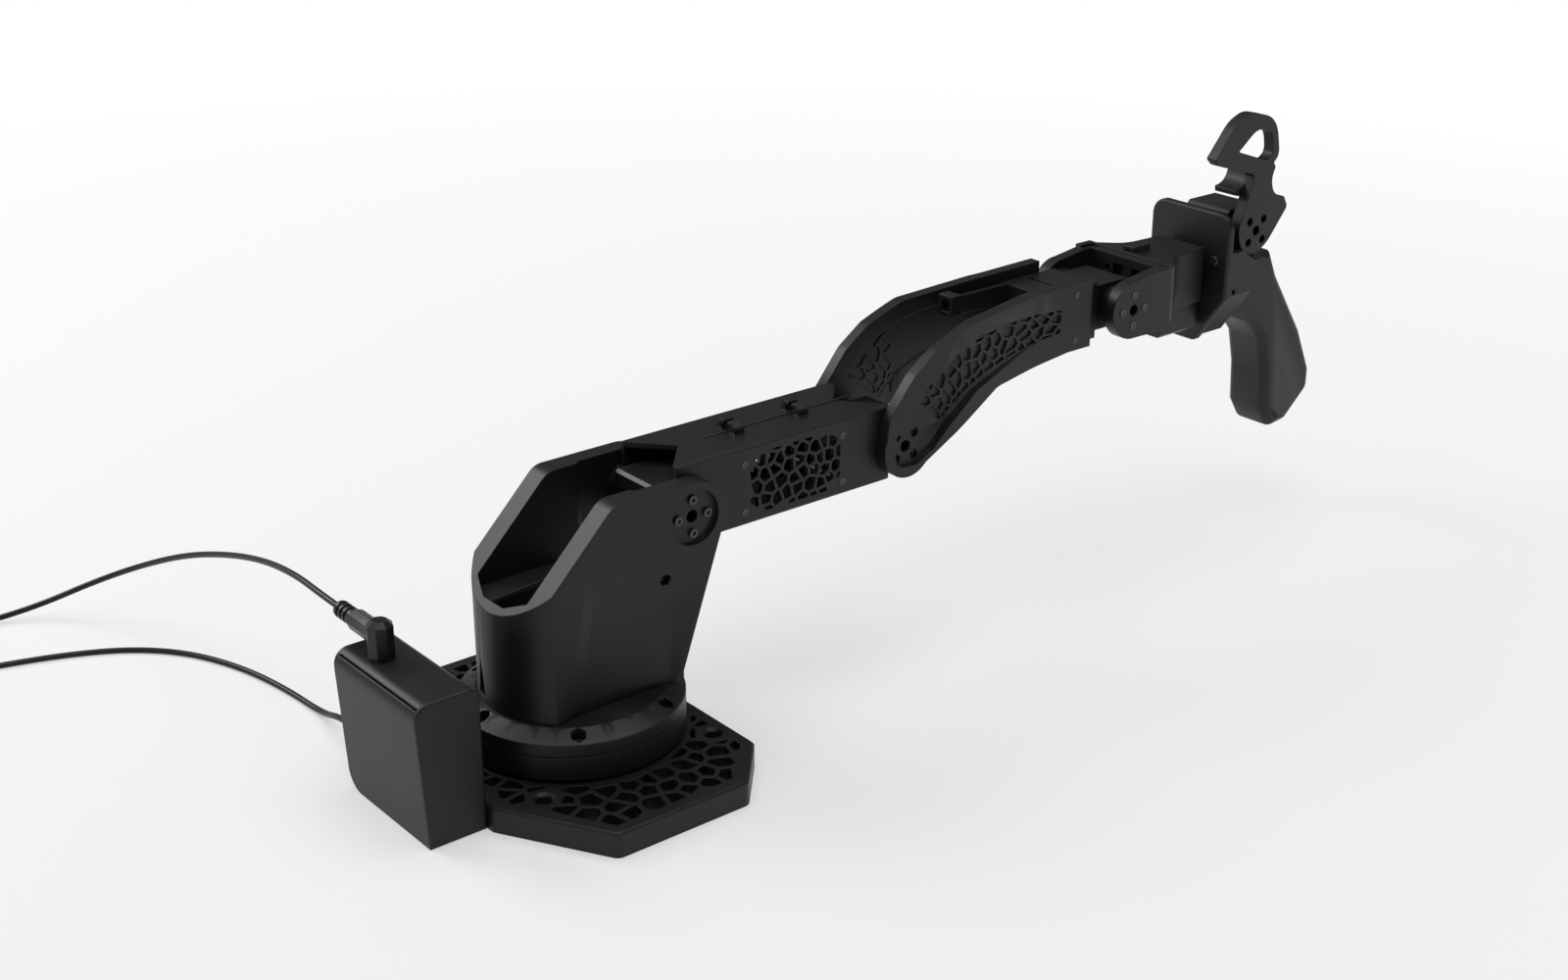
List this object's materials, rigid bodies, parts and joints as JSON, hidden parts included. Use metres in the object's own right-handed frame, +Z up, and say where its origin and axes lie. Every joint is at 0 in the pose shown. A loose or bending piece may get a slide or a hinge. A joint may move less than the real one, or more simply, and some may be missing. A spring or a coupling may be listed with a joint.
{
  "type": "robot arm",
  "caption": "Desktop robot arm on a bolted base with slewing turret, two links, pitching and rolling wrist, and a pistol grip with a finger trigger.",
  "frame": {"origin": "on the turret's vertical axis at the underside of the base plate", "axes": "+X along the outstretched arm, +Y to its left, +Z up"},
  "size_m": [0.9468, 0.4892, 0.2963],
  "materials": {
    "printed_black": "fine matte moulded surface with a soft sheen",
    "servo_case": "smooth satin moulding",
    "steel": "blackened",
    "horn_metal": "black anodised",
    "board": "lacquered",
    "cord_jacket": "soft satin",
    "plug_plastic": "satin",
    "cage_plastic": "plain"
  },
  "bodies": {
    "base": {"base_plate": "printed_black", "fixed_ring": "printed_black", "fixed_ring_screws": "steel", "bearing_outer_race": "steel", "bearing_cage": "cage_plastic", "yaw_servo": "servo_case", "controller_shell": "printed_black", "controller_cover": "printed_black", "controller_board": "board", "data_socket": "plug_plastic", "dc_plug": "plug_plastic", "data_plug": "plug_plastic", "power_cord": "cord_jacket", "data_cord": "cord_jacket", "power_coil": "cord_jacket", "data_coil": "cord_jacket", "power_end_plug": "plug_plastic", "data_end_plug": "plug_plastic"},
    "turret": {"yaw_horn": "horn_metal", "turntable": "printed_black", "turntable_screws": "steel", "yaw_horn_screws": "steel", "bearing_inner_race": "steel", "turret_shell": "printed_black", "turret_panel_screws": "steel", "shoulder_screws": "steel", "shoulder_horn": "horn_metal", "shoulder_idler": "horn_metal"},
    "upper_arm": {"shoulder_servo": "servo_case", "upper_arm_near_shell": "printed_black", "upper_arm_far_shell": "printed_black", "arm_standoffs": "steel", "upper_arm_screws": "steel", "elbow_servo": "servo_case"},
    "forearm": {"elbow_horn": "horn_metal", "elbow_idler": "horn_metal", "elbow_screws": "steel", "forearm_near_plate": "printed_black", "forearm_far_plate": "printed_black", "forearm_plate_screws": "steel", "wrist_cradle": "printed_black", "wrist_servo": "servo_case"},
    "wrist": {"wrist_horn": "horn_metal", "wrist_idler": "horn_metal", "wrist_screws": "steel", "wrist_bracket": "printed_black", "roll_servo": "servo_case"},
    "handle": {"roll_horn": "horn_metal", "roll_horn_screws": "steel", "handle_frame": "printed_black", "grip": "printed_black", "trigger_servo": "servo_case", "handle_screws": "steel"},
    "trigger": {"trigger_horn": "horn_metal", "trigger_screws": "steel", "trigger_lever": "printed_black"}
  },
  "joints": [
    {"name": "base_yaw", "type": "hinge", "parent": "base", "child": "turret", "pos_m": [0, 0, 0], "axis": [0, 0, 1], "range_deg": [-90, 90]},
    {"name": "shoulder_pitch", "type": "hinge", "parent": "turret", "child": "upper_arm", "pos_m": [0.0608, 0, 0.1406], "axis": [0, -1, 0], "range_deg": [-40, 75]},
    {"name": "elbow_pitch", "type": "hinge", "parent": "upper_arm", "child": "forearm", "pos_m": [0.2228, 0, 0.1406], "axis": [0, -1, 0], "range_deg": [-60, 75]},
    {"name": "wrist_pitch", "type": "hinge", "parent": "forearm", "child": "wrist", "pos_m": [0.4136, 0, 0.1873], "axis": [0, -1, 0], "range_deg": [-75, 60]},
    {"name": "wrist_roll", "type": "hinge", "parent": "wrist", "child": "handle", "pos_m": [0.5008, 0, 0.1873], "axis": [1, 0, 0], "range_deg": [-90, 90]},
    {"name": "trigger_pull", "type": "hinge", "parent": "handle", "child": "trigger", "pos_m": [0.5387, 0, 0.2155], "axis": [0, 1, 0], "range_deg": [0, 25], "stiffness_Nm_per_rad": 0.15, "springref_deg": -20.05}
  ]
}
